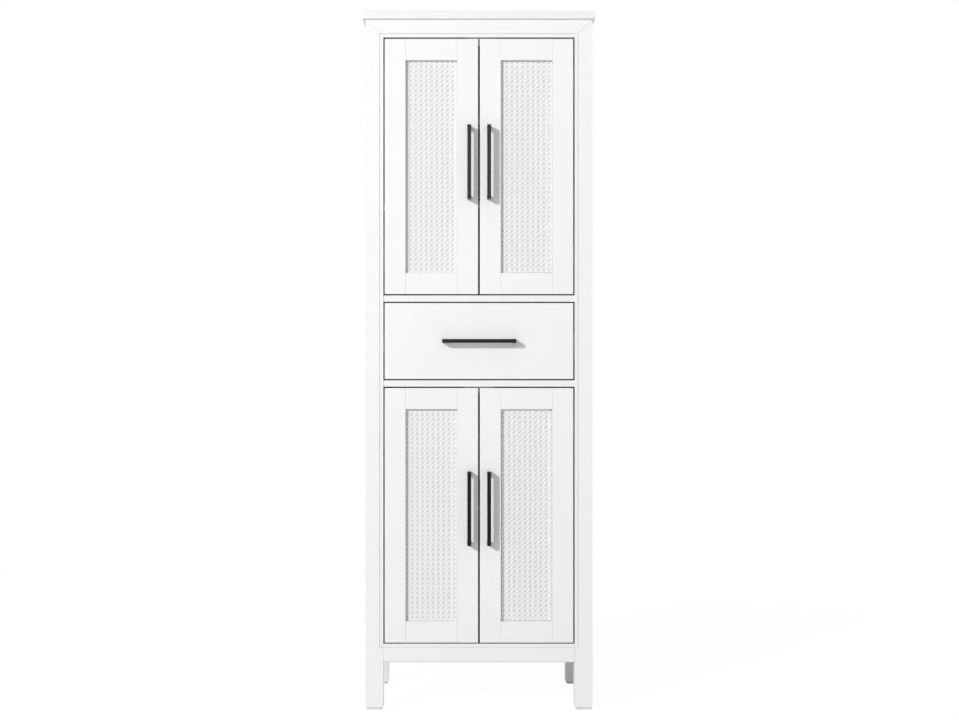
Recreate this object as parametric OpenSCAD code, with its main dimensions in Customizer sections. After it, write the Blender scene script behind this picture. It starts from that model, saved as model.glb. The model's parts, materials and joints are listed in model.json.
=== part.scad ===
// Tall freestanding bathroom cabinet.
// Four square posts carry a boarded carcass with a grooved front frame, two pairs of
// inset cane-panelled doors on concealed cup hinges, and one drawer on telescopic slides.
// The front faces -Y, the feet stand on Z = 0, and the origin is under the middle of the whole piece.

/* [Overall] */
// Width over the top board
overall_w = 606; // [560:1:700]
// Height from the floor to the top face
overall_h = 1821; // [1700:1:2000]
// Depth of the carcass, from the door fronts to the back
body_d = 390; // [350:5:480]
// How far the top board stands out at the front and the sides
top_overhang = 7; // [4:1:20]
// Thickness of the top board
top_t = 21; // [16:1:28]
// Chamfer round the edges of the top board
top_chamfer = 1.5; // [0.5:0.5:4]

/* [Posts and front frame] */
// Width of each post across the front
post_w = 46.5; // [42:0.5:56]
// Depth of each post
post_d = 46; // [42:1:60]
// Clear height under the rails and the side panels
leg_h = 123; // [90:1:170]
// Chamfer round the foot of each post
foot_chamfer = 2.5; // [0.5:0.5:6]
// Height of the mitred top rail
top_rail_h = 47; // [40:1:56]
// Height of the bottom rail
bottom_rail_h = 48.5; // [40:0.5:70]
// Chamfer along the lower edge of the bottom rail
apron_chamfer = 2.5; // [1:0.5:5]
// Thickness of the front rails
rail_t = 20; // [16:1:24]
// Width of the plain strip between the groove and the openings
bead_w = 9; // [6:0.5:14]
// Depth of the V groove
groove_d = 3; // [1:0.25:4]
// Width of the V groove at the surface
groove_w = 2.4; // [1.5:0.1:4]

// Width of the fine seams that show at the joints of the front frame and the doors
seam_w = 0.35; // [0.2:0.05:0.6]
// Depth of those seams
seam_d = 2; // [1:0.25:4]

/* [Carcass boards] */
// Thickness of the side panels, dividers, floor and shelves
board_t = 16.5; // [12:0.5:20]
// Thickness of the back panel
back_t = 5; // [3:1:8]
// How far the back panel sits in from the back of the rear posts
back_recess = 1; // [0.5:0.5:3]
// Width of the rabbet in each rear post that takes the back panel
back_rabbet_w = 9; // [5:1:14]
// How far the side panels sit back from the outside of the posts
side_recess = 3; // [1:0.5:6]

/* [Openings] */
// Height of the lower door opening
lower_opening_h = 670.5; // [600:0.5:720]
// Height of the drawer opening
drawer_opening_h = 205; // [180:1:240]
// Gap round each door and the drawer front
gap = 3.5; // [2.5:0.25:4]
// Gap between the two doors of a pair
meeting_gap = 4.5; // [2.5:0.25:6]
// Gap over the upper doors
head_gap = 4.5; // [2.5:0.25:6]
// How far the dividers sit back from the front of the posts
divider_recess = 2; // [0.5:0.5:4]

/* [Doors] */
// Thickness of the doors and the drawer front
door_t = 19; // [18:0.5:22]
// Width of the door stiles
stile_w = 54.5; // [50:0.5:70]
// Height of the door rails
door_rail_h = 55; // [45:1:80]
// Chamfer along the outer edges of the stiles
door_chamfer = 1; // [0.5:0.25:2]
// Thickness of the panel behind the cane
panel_t = 4; // [3:0.5:5]
// Depth of the cane below the face of the door
cane_recess = 10; // [8:0.5:11]
// Thickness of the cane sheet
cane_t = 1.2; // [0.8:0.2:2]
// Depth of the groove that holds the panel
panel_groove = 8.5; // [5:0.5:10]
// Play of the panel and the tongues in their grooves, on each side
groove_play = 0.15; // [0.05:0.05:0.3]

/* [Handles] */
// Overall length of each bar handle
handle_len = 192; // [120:2:200]
// Side of the square handle bar
handle_bar = 10; // [7:0.5:12]
// How far a handle stands out from the face
handle_out = 32; // [25:1:40]
// Distance from the meeting edge of a door to the middle of its handle
handle_inset = 23.5; // [18:0.5:30]
// Chamfer along the handle bar
handle_chamfer = 0.6; // [0.2:0.2:1.2]
// How far the upper handles sit above the middle of their doors
upper_handle_rise = 9.5; // [-100:0.5:100]
// How far the lower handles sit above the middle of their doors
lower_handle_rise = 19; // [-100:1:200]
// Radius of the screw holes through the doors and the drawer front
handle_hole_r = 2.5; // [2:0.25:3]
// Radius of the threaded holes in the handles
handle_thread_r = 1.65; // [1:0.05:2]
// Depth of the threaded holes in the handles
handle_thread_depth = 14; // [8:1:20]

/* [Hinges] */
// Diameter of the hinge cup
cup_d = 35; // [34:0.5:36]
// Depth of the cup below the back face of the door
cup_depth = 14; // [13.5:0.25:15]
// Thickness of the cup's wall, floor and flange
cup_wall = 1.1; // [0.8:0.1:1.3]
// Wood left between the cup and the edge of the door
cup_edge = 4; // [3.5:0.25:6]
// Distance from the post to the hinge pin
pin_x = 17; // [16:0.25:19]
// Depth of the hinge pin behind the door's face
pin_y = 9; // [8.75:0.25:10]
// Radius of the hinge pin
pin_r = 1.5; // [1.2:0.1:1.8]
// Radius of the eye that turns round the pin
eye_r = 2.8; // [2.4:0.1:3]
// Running clearance between the pin and the cup
pin_play = 0.05; // [0.02:0.01:0.1]
// Thickness of the hinge arm
arm_t = 2.6; // [2:0.1:2.8]
// Height of the hinge arm
arm_h = 12; // [8:1:14]
// Room between the back of a door and the arm's run behind it
arm_room = 8; // [7.5:0.25:10]
// Distance from the post to the far side of the arm
arm_reach = 34.5; // [34:0.25:36]
// Thickness of the hinge plate on the post
hinge_plate_t = 2.5; // [2:0.25:4]
// Height of the hinge plate
hinge_plate_h = 48; // [40:2:60]
// Height of the cup's flange on the back of the door
flange_h = 58; // [50:1:64]
// How far the flange reaches from the middle of the cup
flange_w = 22; // [20:0.5:24]
// Distance from the ends of a door to its hinges
hinge_inset = 100; // [75:5:150]

/* [Shelves] */
// Radius of the shelf pin holes
shelf_hole_r = 2.5; // [2:0.25:3]
// Depth of the shelf pin holes
shelf_hole_depth = 11; // [8:1:14]
// Distance between shelf pin holes
shelf_hole_pitch = 32; // [20:1:40]
// Holes in each group
shelf_hole_count = 5; // [3:2:7]
// Distance from the front and back of the carcass to the shelf pins
shelf_hole_inset = 37; // [35:1:40]
// Distance between the two upper shelves
shelf_spread = 220; // [180:4:260]
// Distance that the front edge of a shelf sits behind the door's face
shelf_front = 30; // [24:1:33]
// Play of a shelf between the sides
shelf_play = 1; // [0.5:0.25:2]
// How far a shelf pin stands out of its hole
shelf_pin_out = 8; // [6:1:12]
// Play of a shelf pin in its hole
shelf_pin_play = 0.05; // [0.02:0.01:0.1]
// Room between the end of a shelf pin and the bottom of its hole
shelf_pin_room = 1; // [0.5:0.5:3]
// Width of the flat tab under the shelf
shelf_tab_w = 9; // [6:0.5:12]
// Thickness of the tab above the pin
shelf_tab_t = 2; // [1:0.25:3]

/* [Drawer] */
// Height of the drawer box
box_h = 136; // [100:2:150]
// Thickness of the drawer box sides, front and back
box_t = 12; // [10:1:15]
// Thickness of the drawer bottom
box_bottom_t = 5; // [3:1:8]
// Height of the drawer bottom above the lower edge of the sides
box_bottom_rise = 10; // [6:1:20]
// Depth of the groove for the drawer bottom
box_groove = 6; // [3:0.5:8]
// Room below the drawer box
box_clear = 26; // [22:1:40]
// Room behind the drawer box
box_back_room = 20; // [15:1:60]
// Width of each slide, from the post to the drawer box
slide_w = 13; // [12.5:0.1:14]
// Height of the outer slide member
slide_h = 45; // [40:1:50]
// Thickness of the slide members
slide_t = 1.2; // [1:0.1:1.6]
// Room in front of the slides, behind the drawer front
slide_front_room = 2; // [1:0.5:4]
// Room behind the slides
slide_back_room = 14; // [10:1:24]
// Side clearance between the slide members
member_play = 0.8; // [0.6:0.1:1]
// How much less the drawer travels than its slides are long
travel_short = 10; // [5:1:40]
// Diameter of the bearing balls
ball_d = 3.2; // [2.6:0.1:3.6]
// Balls in each cage
ball_count = 5; // [3:1:6]
// Distance between the balls in a cage
ball_pitch = 24; // [14:1:28]
// Thickness of the cages
cage_t = 0.8; // [0.5:0.1:1.2]
// Running clearance beside each ball
ball_play = 0.1; // [0.05:0.05:0.2]

/* [Feet and door stops] */
// Thickness of the glides under the posts
glide_t = 4; // [2:0.5:8]
// How far a glide sits in from the edges of its post
glide_inset = 3; // [2:0.5:8]
// Length of a door stop
stop_len = 76; // [50:2:120]
// Thickness of a door stop, front to back
stop_t = 12; // [8:1:16]
// How far a door stop hangs behind the top edge of the doors
stop_drop = 15; // [8:1:24]
// Gap between a door stop and a closed door
stop_play = 0.3; // [0.1:0.1:0.6]

/* [Hidden] */
// Heights of the boards and openings, from the floor up
body_top = overall_h - top_t;
bottom_rail_top = leg_h + bottom_rail_h;
lower_divider_z = bottom_rail_top + lower_opening_h;
drawer_z = lower_divider_z + board_t;
upper_divider_z = drawer_z + drawer_opening_h;
upper_z = upper_divider_z + board_t;
upper_opening_top = body_top - top_rail_h;
upper_opening_h = upper_opening_top - upper_z;

// Widths, from the middle out, and depths, from the front plane back
body_w = overall_w - 2 * top_overhang;
open_w = body_w - 2 * post_w;
side_in = body_w / 2 - side_recess - board_t;
board_back = body_d - back_recess - back_t;
rear_post_y = body_d - post_d;
front_y = -(body_d - handle_out) / 2;
top_bead = bead_w * top_rail_h / post_w;

// How far a cut runs past the faces it opens
cut = 1;
// A length past the whole cabinet
far = 3000;

// Doors and drawer front
door_w = (open_w - 2 * gap - meeting_gap) / 2;
hinge_edge = -open_w / 2 + gap;
meeting_edge = -meeting_gap / 2;
panel_y = cane_recess + cane_t;
tongue = panel_groove - groove_play;
handle_pitch = handle_len - handle_bar;
drawer_front_w = open_w - 2 * gap;
drawer_front_h = drawer_opening_h - 2 * gap;
drawer_mid_z = drawer_z + drawer_opening_h / 2;

// One row for each door: name, whether it hangs on the right, bottom edge, height, rise of its handle
DOORS = [for (right = [false, true], upper = [false, true])
    [str(upper ? "upper" : "lower", right ? "_right_door_" : "_left_door_"), right,
     (upper ? upper_z : bottom_rail_top) + gap,
     upper ? upper_opening_h - gap - head_gap : lower_opening_h - 2 * gap,
     upper ? upper_handle_rise : lower_handle_rise]];

// Hinges, with distances across taken from the inner face of the post
cup_r = cup_d / 2;
cup_x = gap + cup_edge + cup_r;
arm_y = door_t + arm_room;
arm_low = pin_y - arm_t / 2;
plate_y = arm_y - arm_t;
plate_w = post_d - plate_y - arm_t / 2;
plate_screw_r = 2;
plate_screw_inset = 8;
flange_corner = 4;
flange_rim = 1.5;
// Half the length of a pin that ends inside the wall of the cup
pin_half = sqrt(pow(cup_r - cup_wall / 3, 2) - pow(cup_x - pin_x + pin_r, 2));
HINGE_Z = [for (d = DOORS) if (!d[1]) each [d[2] + hinge_inset, d[2] + d[3] - hinge_inset]];

// Shelves and their pins
shelf_pin_r = shelf_hole_r - shelf_pin_play;
mid_upper_z = upper_z + upper_opening_h / 2;
mid_lower_z = bottom_rail_top + lower_opening_h / 2;
SHELF_LEVELS = [mid_lower_z, mid_upper_z - shelf_spread / 2, mid_upper_z + shelf_spread / 2];

// Drawer box and slides, with distances across taken from the inner face of the post
box_w = open_w - 2 * slide_w;
box_z = drawer_z + box_clear;
box_d = board_back - box_back_room - door_t;
slide_z = box_z + box_h / 2;
slide_y = door_t + slide_front_room;
slide_len = board_back - slide_back_room - slide_y;
drawer_travel = slide_len - travel_short;
race = ball_d + 2 * ball_play;
middle_h = slide_h - 2 * slide_t - 2 * race;
inner_h = middle_h - 2 * slide_t - 2 * race;
middle_in = slide_t + 2 * member_play;
middle_out = slide_w - slide_t - member_play;
outer_lip = middle_out - member_play;
inner_lip = middle_in + slide_t + member_play;
ball_x = (inner_lip + outer_lip) / 2;
// A cage rolls a quarter of the travel against the member that it starts level with
cage_y = slide_y + drawer_travel / 4 + ball_pitch / 2;
cage_len = ball_count * ball_pitch;

paint = [0.95, 0.95, 0.94];
cane_white = [0.92, 0.92, 0.9];
steel = [0.75, 0.76, 0.78];
black = [0.13, 0.13, 0.14];
nylon = [0.85, 0.85, 0.85];

DOOR_PARTS = ["hinge_stile", "handle_stile", "rails", "panel", "cane", "handle", "hinge_cups"];

// A block between two corners.
module block(low, high) {
    translate(low) cube(high - low);
}

// The children as drawn on the left, or mirrored to the right.
module on_side(right) {
    mirror([right ? 1 : 0, 0, 0]) children();
}

module on_both_sides() {
    for (right = [false, true]) on_side(right) children();
}

// A square bar of unlimited length with its diagonals upright, to cut a chamfer along Y or X.
module chamfer_along_y(c) {
    rotate([0, 45, 0]) cube([c * sqrt(2), far, c * sqrt(2)], center = true);
}

module chamfer_along_x(c) {
    rotate([45, 0, 0]) cube([far, c * sqrt(2), c * sqrt(2)], center = true);
}

// A rectangle with chamfered corners, from the origin.
module eased_rect(w, d, c) {
    polygon([[c, 0], [w - c, 0], [w, c], [w, d - c], [w - c, d], [c, d], [0, d - c], [0, c]]);
}

// A round hole or pin between two points of a line along X, and along Y.
module rod_x(x0, x1, y, z, r) {
    translate([x0, y, z]) rotate([0, 90, 0]) cylinder(h = x1 - x0, r = r, $fn = 32);
}

module rod_y(x, y0, y1, z, r) {
    translate([x, y1, z]) rotate([90, 0, 0]) cylinder(h = y1 - y0, r = r, $fn = 48);
}

// V grooves in the front plane.
module groove_outline() {
    half = groove_w / 2 * (groove_d + cut) / groove_d;
    polygon([[0, groove_d], [-half, -cut], [half, -cut]]);
}

module groove_along_x(x0, x1, z) {
    translate([x0, 0, z]) rotate([0, 90, 0]) linear_extrude(x1 - x0) groove_outline();
}

module groove_along_z(x, z0, z1) {
    translate([x, 0, z0]) linear_extrude(z1 - z0) groove_outline();
}

// Top board with a chamfer round its upper edges, except at the back.
module top_panel() {
    color(paint) difference() {
        block([-overall_w / 2, -top_overhang, body_top], [overall_w / 2, body_d, overall_h]);
        on_both_sides() translate([-overall_w / 2, 0, overall_h]) chamfer_along_y(top_chamfer);
        translate([0, -top_overhang, overall_h]) chamfer_along_x(top_chamfer);
    }
}

// Left-hand post from y back, chamfered round its foot.
module post(y) {
    difference() {
        block([-body_w / 2, y, glide_t], [-open_w / 2, y + post_d, body_top]);
        for (x = [-body_w / 2, -open_w / 2]) translate([x, 0, glide_t]) chamfer_along_y(foot_chamfer);
        for (edge = [y, y + post_d]) translate([0, edge, glide_t]) chamfer_along_x(foot_chamfer);
    }
}

// Groups of shelf pin holes in a left-hand post, one group round each shelf.
module shelf_holes(y) {
    mid = (shelf_hole_count - 1) / 2;
    for (level = SHELF_LEVELS, i = [0 : shelf_hole_count - 1])
        rod_x(-open_w / 2 - shelf_hole_depth, -open_w / 2 + cut, y,
              level + (i - mid) * shelf_hole_pitch, shelf_hole_r);
}

// The wedge that a front post gives up to the mitred top rail.
module mitre_wedge() {
    translate([0, rail_t, 0]) rotate([90, 0, 0]) linear_extrude(rail_t + cut)
        polygon([[-body_w / 2, body_top], [-open_w / 2, upper_opening_top],
                 [-open_w / 2 + cut, upper_opening_top], [-open_w / 2 + cut, body_top + cut],
                 [-body_w / 2, body_top + cut]]);
}

module front_post(right) {
    groove_x = -open_w / 2 - bead_w;
    groove_z = bottom_rail_top - bead_w;
    color(paint) on_side(right) difference() {
        post(0);
        mitre_wedge();
        groove_along_z(groove_x, groove_z, body_top);
        groove_along_x(groove_x, -open_w / 2 + cut, groove_z);
        shelf_holes(shelf_hole_inset);
    }
}

// Rear post with a rabbet for the back panel.
module rear_post(right) {
    color(paint) on_side(right) difference() {
        post(rear_post_y);
        block([-open_w / 2 - back_rabbet_w, board_back, leg_h],
              [-open_w / 2 + cut, body_d + cut, body_top + cut]);
        shelf_holes(body_d - shelf_hole_inset);
    }
}

module side_panel(right) {
    outer = -body_w / 2 + side_recess;
    color(paint) on_side(right) block([outer, post_d, leg_h], [outer + board_t, rear_post_y, body_top]);
}

module back_panel() {
    half = open_w / 2 + back_rabbet_w;
    color(paint) block([-half, board_back, leg_h], [half, board_back + back_t, body_top]);
}

// Fine slot in the face of the top rail along a mitre, drawn past both ends of the joint.
module mitre_seam() {
    function on_joint(t) = [-body_w / 2 + t * post_w, body_top - t * top_rail_h];
    over = 0.1;
    translate([0, seam_d, 0]) rotate([90, 0, 0]) linear_extrude(seam_d + cut)
        polygon([on_joint(-over) - [cut, 0], on_joint(1 + over) - [cut, 0],
                 on_joint(1 + over) + [seam_w * sqrt(2), 0], on_joint(-over) + [seam_w * sqrt(2), 0]]);
}

module top_rail() {
    half = body_w / 2;
    color(paint) difference() {
        translate([0, rail_t, 0]) rotate([90, 0, 0]) linear_extrude(rail_t)
            polygon([[-half, body_top], [-open_w / 2, upper_opening_top],
                     [open_w / 2, upper_opening_top], [half, body_top]]);
        groove_along_x(-half, half, upper_opening_top + top_bead);
        on_both_sides() mitre_seam();
    }
}

// Rail in plan, with a fine V left at the face where each end meets a stile or a post.
module rail_outline(x0, x1, t) {
    polygon([[x0 + seam_w, 0], [x1 - seam_w, 0], [x1, seam_d], [x1, t], [x0, t], [x0, seam_d]]);
}

module bottom_rail() {
    color(paint) difference() {
        translate([0, 0, leg_h]) linear_extrude(bottom_rail_h) rail_outline(-open_w / 2, open_w / 2, rail_t);
        translate([0, 0, leg_h]) chamfer_along_x(apron_chamfer);
        groove_along_x(-open_w / 2 - cut, open_w / 2 + cut, bottom_rail_top - bead_w);
    }
}

// A board with its underside at z, from y0 back to y1, notched round the posts.
module notched_board(y0, y1, z, play) {
    color(paint) translate([0, 0, z]) linear_extrude(board_t) {
        translate([-open_w / 2 + play, y0]) square([open_w - 2 * play, y1 - y0]);
        translate([-side_in + play, post_d + play])
            square([2 * (side_in - play), rear_post_y - post_d - 2 * play]);
    }
}

module divider(z) {
    notched_board(divider_recess, board_back, z, 0);
}

module bottom_panel() {
    notched_board(rail_t, board_back, bottom_rail_top - board_t, 0);
}

module shelves() {
    for (level = SHELF_LEVELS)
        notched_board(shelf_front, board_back - shelf_play, level + shelf_pin_r + shelf_tab_t, shelf_play);
}

// Left-hand spoon pin with a flat tab that carries the shelf.
module shelf_pin(y, z) {
    x = -open_w / 2;
    rod_x(x - shelf_hole_depth + shelf_pin_room, x + shelf_pin_out, y, z, shelf_pin_r);
    block([x + shelf_pin_play, y - shelf_tab_w / 2, z],
          [x + shelf_pin_out, y + shelf_tab_w / 2, z + shelf_pin_r + shelf_tab_t]);
}

module shelf_pins() {
    color(steel) on_both_sides()
        for (z = SHELF_LEVELS, y = [shelf_hole_inset, body_d - shelf_hole_inset]) shelf_pin(y, z);
}

module foot_glides() {
    color(nylon) on_both_sides() for (y = [0, rear_post_y])
        translate([-body_w / 2 + glide_inset, y + glide_inset, 0]) linear_extrude(glide_t)
            eased_rect(post_w - 2 * glide_inset, post_d - 2 * glide_inset, glide_inset);
}

// Stops behind the meeting edges of both pairs of doors, one on the top rail, one under the divider.
module door_stops() {
    near = door_t + stop_play;
    color(nylon) {
        for (place = [[upper_opening_top, head_gap], [lower_divider_z, gap]])
            block([-stop_len / 2, near, place[0] - place[1] - stop_drop], [stop_len / 2, near + stop_t, place[0]]);
        block([-stop_len / 2, rail_t, upper_opening_top],
              [stop_len / 2, near + stop_t, upper_opening_top + top_rail_h / 2]);
    }
}

// Gooseneck arm in plan: base on the plate, run behind the door, then down into the cup
// and back to the eye on the pin.
module arm_outline() {
    translate([hinge_plate_t, arm_y]) square([arm_t, plate_y + plate_w - arm_y]);
    translate([hinge_plate_t, arm_y]) square([arm_reach - hinge_plate_t, arm_t]);
    translate([arm_reach - arm_t, arm_low]) square([arm_t, arm_y + arm_t - arm_low]);
    translate([pin_x, arm_low]) square([arm_reach - pin_x, arm_t]);
    translate([pin_x, pin_y]) circle(r = eye_r, $fn = 32);
}

module hinge_arms() {
    color(steel) on_both_sides() for (z = HINGE_Z)
        translate([-open_w / 2, 0, z - arm_h / 2]) linear_extrude(arm_h) difference() {
            arm_outline();
            translate([pin_x, pin_y]) circle(r = pin_r, $fn = 32);
        }
}

module hinge_pin(z, half, r) {
    translate([-open_w / 2 + pin_x, pin_y, z - half]) cylinder(h = 2 * half, r = r, $fn = 32);
}

module hinge_pins() {
    color(steel) on_both_sides() for (z = HINGE_Z) hinge_pin(z, pin_half, pin_r);
}

module hinge_plates() {
    x = -open_w / 2;
    color(steel) on_both_sides() for (z = HINGE_Z) difference() {
        block([x, plate_y, z - hinge_plate_h / 2],
              [x + hinge_plate_t, plate_y + plate_w, z + hinge_plate_h / 2]);
        for (s = [-1, 1]) rod_x(x - cut, x + hinge_plate_t + cut, plate_y + plate_w / 2,
                                z + s * (hinge_plate_h / 2 - plate_screw_inset), plate_screw_r);
    }
}

// Cup in the back of a left-hand door, with its flange and with bores for the pin.
module hinge_cup(z) {
    x = -open_w / 2 + cup_x;
    difference() {
        union() {
            rod_y(x, door_t - cup_depth, door_t, z, cup_r);
            rod_y(x, door_t, door_t + cup_wall, z, cup_r + flange_rim);
            translate([x, door_t + cup_wall, z]) rotate([90, 0, 0]) linear_extrude(cup_wall)
                translate([0, -flange_h / 2]) eased_rect(flange_w, flange_h, flange_corner);
        }
        rod_y(x, door_t - cup_depth + cup_wall, door_t + cup_wall + cut, z, cup_r - cup_wall);
        hinge_pin(z, cup_r, pin_r + pin_play);
    }
}

module hinge_cups(door) {
    color(steel) on_side(door[1])
        for (z = [door[2] + hinge_inset, door[2] + door[3] - hinge_inset]) hinge_cup(z);
}

// Stile in plan, with its outer edges chamfered and a groove for the panel in its inner edge.
module stile_outline() {
    c = door_chamfer;
    difference() {
        polygon([[c, 0], [stile_w, 0], [stile_w, door_t], [c, door_t], [0, door_t - c], [0, c]]);
        translate([stile_w - panel_groove, panel_y - groove_play])
            square([panel_groove + cut, panel_t + 2 * groove_play]);
    }
}

// Stile that carries the hinges, bored for the cups.
module hinge_stile(door) {
    color(paint) on_side(door[1]) difference() {
        translate([hinge_edge, 0, door[2]]) linear_extrude(door[3]) stile_outline();
        for (z = [door[2] + hinge_inset, door[2] + door[3] - hinge_inset])
            rod_y(-open_w / 2 + cup_x, door_t - cup_depth, door_t + cut, z, cup_r);
    }
}

function handle_z(door) = door[2] + door[3] / 2 + door[4];

// Stile at the meeting edge, with holes for the handle.
module handle_stile(door) {
    color(paint) on_side(door[1]) difference() {
        translate([meeting_edge, 0, door[2]]) linear_extrude(door[3]) mirror([1, 0]) stile_outline();
        for (s = [-1, 1])
            rod_y(meeting_edge - handle_inset, -cut, door_t + cut,
                  handle_z(door) + s * handle_pitch / 2, handle_hole_r);
    }
}

// Top and bottom rail of a door, tongued into the stiles and grooved for the panel.
module rails(door) {
    x0 = hinge_edge + stile_w;
    x1 = meeting_edge - stile_w;
    color(paint) on_side(door[1]) for (top = [0, 1])
        translate([0, 0, door[2] + top * door[3]]) mirror([0, 0, top]) difference() {
            union() {
                linear_extrude(door_rail_h) rail_outline(x0, x1, door_t);
                block([x0 - tongue, panel_y, 0], [x1 + tongue, panel_y + panel_t, door_rail_h]);
            }
            block([x0 - far, panel_y - groove_play, door_rail_h - panel_groove],
                  [x1 + far, panel_y + panel_t + groove_play, door_rail_h + cut]);
        }
}

// Panel in the grooves of the door's frame.
module panel(door) {
    x0 = hinge_edge + stile_w - tongue;
    x1 = meeting_edge - stile_w + tongue;
    inset = door_rail_h - tongue;
    color(paint) on_side(door[1])
        block([x0, panel_y, door[2] + inset], [x1, panel_y + panel_t, door[2] + door[3] - inset]);
}

// Sheet of cane on the face of the panel.
module cane(door) {
    x0 = hinge_edge + stile_w + groove_play;
    x1 = meeting_edge - stile_w - groove_play;
    inset = door_rail_h + groove_play;
    color(cane_white) on_side(door[1])
        block([x0, cane_recess, door[2] + inset], [x1, panel_y, door[2] + door[3] - inset]);
}

// Square bar with a leg at each end, upright with its middle at the origin, on the plane Y = 0.
module bar_handle() {
    half = handle_len / 2;
    b = handle_bar;
    color(black) difference() {
        union() {
            translate([-b / 2, -handle_out, -half]) linear_extrude(handle_len) eased_rect(b, b, handle_chamfer);
            for (z = [-half, half - b]) translate([-b / 2, 0, z]) rotate([90, 0, 0])
                linear_extrude(handle_out - b / 2) eased_rect(b, b, handle_chamfer);
        }
        for (s = [-1, 1]) rod_y(0, -handle_thread_depth, cut, s * handle_pitch / 2, handle_thread_r);
    }
}

module handle(door) {
    on_side(door[1]) translate([meeting_edge - handle_inset, 0, handle_z(door)]) bar_handle();
}

module drawer_handle() {
    translate([0, 0, drawer_mid_z]) rotate([0, 90, 0]) bar_handle();
}

// Screw holes for the drawer handle, from the face back to y.
module drawer_handle_holes(y) {
    for (s = [-1, 1]) rod_y(s * handle_pitch / 2, -cut, y + cut, drawer_mid_z, handle_hole_r);
}

module drawer_front() {
    color(paint) difference() {
        translate([-drawer_front_w / 2, 0, drawer_z + gap]) linear_extrude(drawer_front_h)
            eased_rect(drawer_front_w, door_t, door_chamfer);
        drawer_handle_holes(door_t);
    }
}

// Slot round the inside of the drawer box that takes its bottom.
module bottom_slot() {
    half = box_w / 2 - box_t + box_groove;
    block([-half, door_t + box_t - box_groove, box_z + box_bottom_rise],
          [half, door_t + box_d + cut, box_z + box_bottom_rise + box_bottom_t]);
}

module drawer_sides() {
    color(paint) on_both_sides() difference() {
        block([-box_w / 2, door_t, box_z], [-box_w / 2 + box_t, door_t + box_d, box_z + box_h]);
        bottom_slot();
    }
}

module drawer_box_front() {
    half = box_w / 2 - box_t;
    color(paint) difference() {
        block([-half, door_t, box_z], [half, door_t + box_t, box_z + box_h]);
        bottom_slot();
        drawer_handle_holes(door_t + box_t);
    }
}

module drawer_back() {
    half = box_w / 2 - box_t;
    color(paint) block([-half, door_t + box_d - box_t, box_z + box_bottom_rise + box_bottom_t],
                       [half, door_t + box_d, box_z + box_h]);
}

module drawer_bottom() {
    half = box_w / 2 - box_t + box_groove - groove_play;
    z = box_z + box_bottom_rise;
    color(paint) block([-half, door_t + box_t - box_groove + groove_play, z],
                       [half, door_t + box_d, z + box_bottom_t]);
}

// Left-hand channel along Y with its web at x0 and its lips reaching to x1.
module channel(x0, x1, h, y0, y1) {
    low = min(x0, x1);
    high = max(x0, x1);
    web = x0 < x1 ? x0 : x0 - slide_t;
    translate([-open_w / 2, 0, slide_z]) {
        block([web, y0, -h / 2], [web + slide_t, y1, h / 2]);
        for (z = [-h / 2, h / 2 - slide_t]) block([low, y0, z], [high, y1, z + slide_t]);
    }
}

module slide_outer_members() {
    color(steel) on_both_sides() channel(0, outer_lip, slide_h, slide_y, slide_y + slide_len);
}

module slide_middle_members() {
    color(steel) on_both_sides() channel(middle_in, middle_out, middle_h, slide_y, slide_y + slide_len);
}

module slide_inner_members() {
    color(steel) on_both_sides() channel(slide_w, inner_lip, inner_h, door_t, door_t + box_d);
}

// Cages in the races at z above and below the middle of the slide, each a strip of balls.
module ball_cages(z) {
    color(steel) on_both_sides() for (s = [-1, 1]) translate([-open_w / 2 + ball_x, cage_y, slide_z + s * z]) {
        difference() {
            translate([-ball_d, 0, -cage_t / 2]) cube([2 * ball_d, cage_len, cage_t]);
            for (i = [0 : ball_count - 1]) translate([0, (i + 0.5) * ball_pitch, -cage_t])
                cylinder(h = 2 * cage_t, d = ball_d + 2 * ball_play, $fn = 24);
        }
        for (i = [0 : ball_count - 1]) translate([0, (i + 0.5) * ball_pitch, 0]) sphere(d = ball_d, $fn = 24);
    }
}

module slide_outer_cages() {
    ball_cages((slide_h - race) / 2 - slide_t);
}

module slide_inner_cages() {
    ball_cages((middle_h - race) / 2 - slide_t);
}

// Moves the front plane so that the origin lies under the middle of the whole cabinet.
module placed() {
    translate([0, front_y, 0]) children();
}

placed() top_panel();
placed() front_post(false);  // front_left_post
placed() front_post(true);  // front_right_post
placed() rear_post(false);  // rear_left_post
placed() rear_post(true);  // rear_right_post
placed() side_panel(false);  // left_side_panel
placed() side_panel(true);  // right_side_panel
placed() back_panel();
placed() top_rail();
placed() bottom_rail();
placed() divider(upper_divider_z);  // upper_divider
placed() divider(lower_divider_z);  // lower_divider
placed() bottom_panel();
placed() shelves();
placed() shelf_pins();
placed() foot_glides();
placed() door_stops();
placed() hinge_plates();
placed() hinge_arms();
placed() hinge_pins();
placed() slide_outer_members();
placed() slide_middle_members();
placed() slide_outer_cages();
placed() slide_inner_cages();
placed() slide_inner_members();
placed() drawer_front();
placed() drawer_handle();
placed() drawer_sides();
placed() drawer_box_front();
placed() drawer_back();
placed() drawer_bottom();
for (door = DOORS) placed() {
    hinge_stile(door);
    handle_stile(door);
    rails(door);
    panel(door);
    cane(door);
    handle(door);
    hinge_cups(door);
}
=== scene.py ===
import json
import math
import random

import bpy
import numpy as np
from mathutils import Matrix, Vector


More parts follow.
